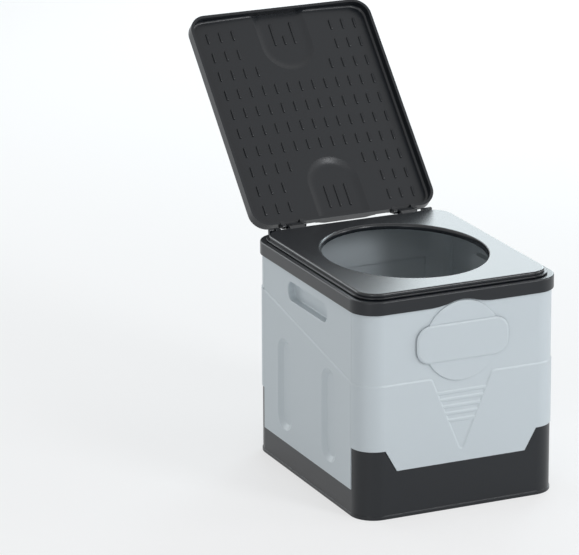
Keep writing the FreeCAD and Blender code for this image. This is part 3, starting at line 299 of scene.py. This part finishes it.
@dataclass
class Lid:
    """Slotted lid with its hinge pins and its knob."""

    knob_edge: Edge = Edge(0.4)
    joint: str = "lid_hinge"
    # The plate's half width, the height of its underside above the hinge axis and how far it is hollowed.
    half_width_mm: float = 143.1
    under_mm: float = 9.6
    bow_mm: float = 5.5
    slot_long_mm: float = 16.5
    # Spacing of the slots across and along the lid, and the first row's distance from the hinge axis.
    pitch_mm: tuple[float, float] = (19.5, 31.6)
    first_row_mm: float = -35.4
    # Columns and rows of the four fields of slots.
    fields: tuple[tuple[tuple[int, ...], range], ...] = (
        ((-6, -5, -4), range(10)), ((4, 5, 6), range(10)),
        ((-3, 3), range(2, 8)), ((-2, -1, 0, 1, 2), range(3, 7)))
    dome_under_mm: float = 13.1
    # Place across, place along and length of the slots in the two domes.
    dome_slots_mm: tuple[tuple[float, float, float], ...] = (
        (-15.7, -44.4, 36.0), (0.0, -44.4, 36.0), (15.7, -44.4, 36.0),
        (-15.7, -314.4, 36.0), (15.7, -314.4, 36.0), (0.0, -303.9, 15.0))

    def build(self) -> None:
        """Dresses the lid, its pins and the knob's pieces, and adds the backs of the slots."""
        dress("lid", CHARCOAL_POLYPROPYLENE)
        dress("lid_hinge_pins", BLACKENED_STEEL)
        dress("knob_collar", CHROMED_ABS, self.knob_edge)
        dress("lid_knob", GLOSSY_ABS, self.knob_edge)
        dress("knob_screw", PLATED_STEEL, self.knob_edge)
        self.slot_backs()

    def swing(self) -> Matrix:
        """Finds the turn from the closed lid, measured from its hinge axis, to the open one.

        Returns:
            Placement of the closed lid's frame with the lid open.
        """
        hinge = next(joint for joint in frame["joints"] if joint["name"] == self.joint)
        open_deg = max(hinge["range_deg"])
        return Matrix.Translation(hinge["pos_m"]) @ Matrix.Rotation(math.radians(-open_deg), 4, "X")

    def bowed_under(self, x_mm: float) -> float:
        """Finds the height of the hollow plate's underside.

        Args:
            x_mm: Place across the lid.

        Returns:
            Height above the hinge axis with the lid closed, in mm.
        """
        radius = (self.half_width_mm ** 2 + self.bow_mm ** 2) / (2 * self.bow_mm)
        return self.under_mm + radius - math.sqrt(radius ** 2 - x_mm ** 2)

    def slot_backs(self) -> None:
        """Closes every slot from below with a rounded bar that moves with the lid."""
        bars = [SlotBack(x, y, self.dome_under_mm, long) for x, y, long in self.dome_slots_mm]
        for columns, rows in self.fields:
            for column in columns:
                x = column * self.pitch_mm[0]
                for row in rows:
                    y = self.first_row_mm - row * self.pitch_mm[1]
                    bars.append(SlotBack(x, y, self.bowed_under(x), self.slot_long_mm))
        swing = self.swing()
        points = []
        faces = []
        for bar in bars:
            bar_points, bar_faces = bar.mesh()
            faces += [[len(points) + i for i in face] for face in bar_faces]
            points += [swing @ (Vector(point) * MM) for point in bar_points]
        shell = bpy.data.meshes.new("lid_slot_backs")
        shell.from_pydata(points, [], faces)
        shell.shade_smooth()
        shell.materials.append(CHARCOAL_POLYPROPYLENE.material())
        piece = bpy.data.objects.new("lid_slot_backs", shell)
        bpy.context.scene.collection.objects.link(piece)
        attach(piece, "lid")


@dataclass(frozen=True)
class SoftBox:
    """One rectangular studio lamp aimed at the object."""

    name: str
    place: tuple[float, float, float]
    aim: tuple[float, float, float]
    size: tuple[float, float]
    watts: float
    colour: str = "#FFFFFF"

    def build(self) -> None:
        """Hangs the lamp and turns it towards its aim."""
        lamp = bpy.data.lights.new(self.name, "AREA")
        lamp.shape = "RECTANGLE"
        lamp.size, lamp.size_y = self.size
        lamp.energy = self.watts
        lamp.color = linear(self.colour)[:3]
        holder = bpy.data.objects.new(self.name, lamp)
        holder.location = self.place
        holder.rotation_euler = (Vector(self.aim) - Vector(self.place)).to_track_quat("-Z", "Y").to_euler()
        bpy.context.scene.collection.objects.link(holder)
        LOG.info("lamp %s", self.name)


@dataclass
class Studio:
    """Camera, floor, background and lamps."""

    image_px: tuple[int, int] = (579, 555)
    camera_place: tuple[float, float, float] = (-2.4624, -4.9802, 2.0210)
    yaw_deg: float = 24.656
    pitch_deg: float = 17.395
    roll_deg: float = -0.209
    focal_px: float = 4192.5
    sensor_mm: float = 36.0
    floor_size: float = 40.0
    floor_colour: str = "#F2F3F4"
    floor_glow: float = 0.6
    room_level: float = 0.43
    lamps: list[SoftBox] = field(default_factory=lambda: [
        SoftBox("key_front_right", (1.5, -3.1, 2.0), (0.0, 0.0, 0.2), (0.9, 2.0), 45.5, "#FAFCFF"),
        SoftBox("fill_front_top", (-0.6, -1.6, 1.6), (0.0, 0.0, 0.3), (0.8, 0.6), 2.5, "#FAFCFF"),
        SoftBox("side_right", (3.0, -1.3, 0.7), (0.0, 0.0, 0.2), (1.2, 1.2), 24.0, "#FAFCFF"),
        SoftBox("strip_front_left", (-2.2, -2.2, 0.6), (0.0, 0.0, 0.2), (0.35, 1.0), 13.0, "#FAFCFF"),
        SoftBox("low_back_left", (-1.5, 2.7, 0.9), (0.0, 0.0, 0.2), (1.4, 1.0), 16.0, "#F4FBFF"),
        SoftBox("rim_back_right", (1.7, 2.6, 1.35), (0.05, 0.05, 0.3), (1.9, 1.6), 32.0, "#EDFAFF"),
        SoftBox("rim_right", (2.2, 1.9, 1.5), (0.0, 0.05, 0.3), (1.2, 1.0), 18.0, "#E4F7FF"),
    ])

    def build(self) -> None:
        """Sets up the camera, the floor, the room light and the lamps."""
        self.camera()
        self.floor()
        self.room()
        for lamp in self.lamps:
            lamp.build()

    def camera(self) -> None:
        """Places the camera at the photograph's viewpoint."""
        yaw, pitch, roll = (math.radians(a) for a in (self.yaw_deg, self.pitch_deg, self.roll_deg))
        forward = Vector((math.sin(yaw) * math.cos(pitch), math.cos(yaw) * math.cos(pitch), -math.sin(pitch)))
        level = Vector((math.cos(yaw), -math.sin(yaw), 0))
        upright = level.cross(forward)
        right = math.cos(roll) * level + math.sin(roll) * upright
        up = math.cos(roll) * upright - math.sin(roll) * level
        lens = bpy.data.cameras.new("photo_camera")
        lens.sensor_fit = "HORIZONTAL"
        lens.sensor_width = self.sensor_mm
        lens.lens = self.focal_px / self.image_px[0] * self.sensor_mm
        lens.clip_end = self.floor_size
        holder = bpy.data.objects.new("photo_camera", lens)
        turn = Matrix((right, up, -forward)).transposed().to_4x4()
        holder.matrix_world = Matrix.Translation(self.camera_place) @ turn
        bpy.context.scene.collection.objects.link(holder)
        bpy.context.scene.camera = holder

    def seen_rays(self, tree: bpy.types.NodeTree) -> bpy.types.NodeSocket:
        """Finds the rays that show the background: camera, mirror and clear ones.

        Args:
            tree: Node tree that takes the nodes.

        Returns:
            Output that is one on those rays and zero on others.
        """
        path = add_node(tree, "ShaderNodeLightPath")
        mirrored = add_node(tree, "ShaderNodeMath", {"operation": "MAXIMUM"}, {
            0: path.outputs["Is Camera Ray"], 1: path.outputs["Is Glossy Ray"]})
        seen = add_node(tree, "ShaderNodeMath", {"operation": "MAXIMUM"}, {
            0: mirrored.outputs[0], 1: path.outputs["Is Transmission Ray"]})
        return seen.outputs[0]

    def floor(self) -> None:
        """Lays a plain pale floor that shows nearly white and keeps the shadow."""
        half = self.floor_size / 2
        mesh = bpy.data.meshes.new("studio_floor")
        mesh.from_pydata([(-half, -half, 0), (half, -half, 0), (half, half, 0), (-half, half, 0)], [],
                         [(0, 1, 2, 3)])
        plane = bpy.data.objects.new("studio_floor", mesh)
        bpy.context.scene.collection.objects.link(plane)
        # Matt white paper: an even, pale ground with no gloss.
        paper = bpy.data.materials.new("matt_white_paper")
        paper.use_nodes = True
        tree = paper.node_tree
        tree.nodes.clear()
        matt = add_node(tree, "ShaderNodeBsdfDiffuse", sockets={"Color": linear(self.floor_colour)})
        glow = add_node(tree, "ShaderNodeEmission", sockets={"Color": (1, 1, 1, 1), "Strength": 1.0})
        share = add_node(tree, "ShaderNodeMath", {"operation": "MULTIPLY"}, {
            0: self.seen_rays(tree), 1: self.floor_glow})
        mix = add_node(tree, "ShaderNodeMixShader", sockets={
            0: share.outputs[0], 1: matt.outputs[0], 2: glow.outputs[0]})
        add_node(tree, "ShaderNodeOutputMaterial", sockets={"Surface": mix.outputs[0]})
        mesh.materials.append(paper)

    def room(self) -> None:
        """Fills the room with even light and shows it white."""
        world = bpy.data.worlds.new("studio_room")
        world.use_nodes = True
        tree = world.node_tree
        tree.nodes.clear()
        soft = add_node(tree, "ShaderNodeBackground", sockets={
            "Strength": self.room_level, "Color": (1, 1, 1, 1)})
        white = add_node(tree, "ShaderNodeBackground", sockets={
            "Strength": 1.0, "Color": (1, 1, 1, 1)})
        mix = add_node(tree, "ShaderNodeMixShader", sockets={
            0: self.seen_rays(tree), 1: soft.outputs[0], 2: white.outputs[0]})
        add_node(tree, "ShaderNodeOutputWorld", sockets={"Surface": mix.outputs[0]})
        bpy.context.scene.world = world
        bpy.context.scene.view_settings.view_transform = "Standard"


def main() -> None:
    """Dresses the sub-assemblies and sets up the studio."""
    logging.basicConfig(level=logging.INFO, format="%(message)s")
    for assembly in (Housing(), SeatTop(), Lid(), Studio()):
        assembly.build()
        LOG.info("%s done", type(assembly).__name__)


if __name__ == "__main__":
    main()
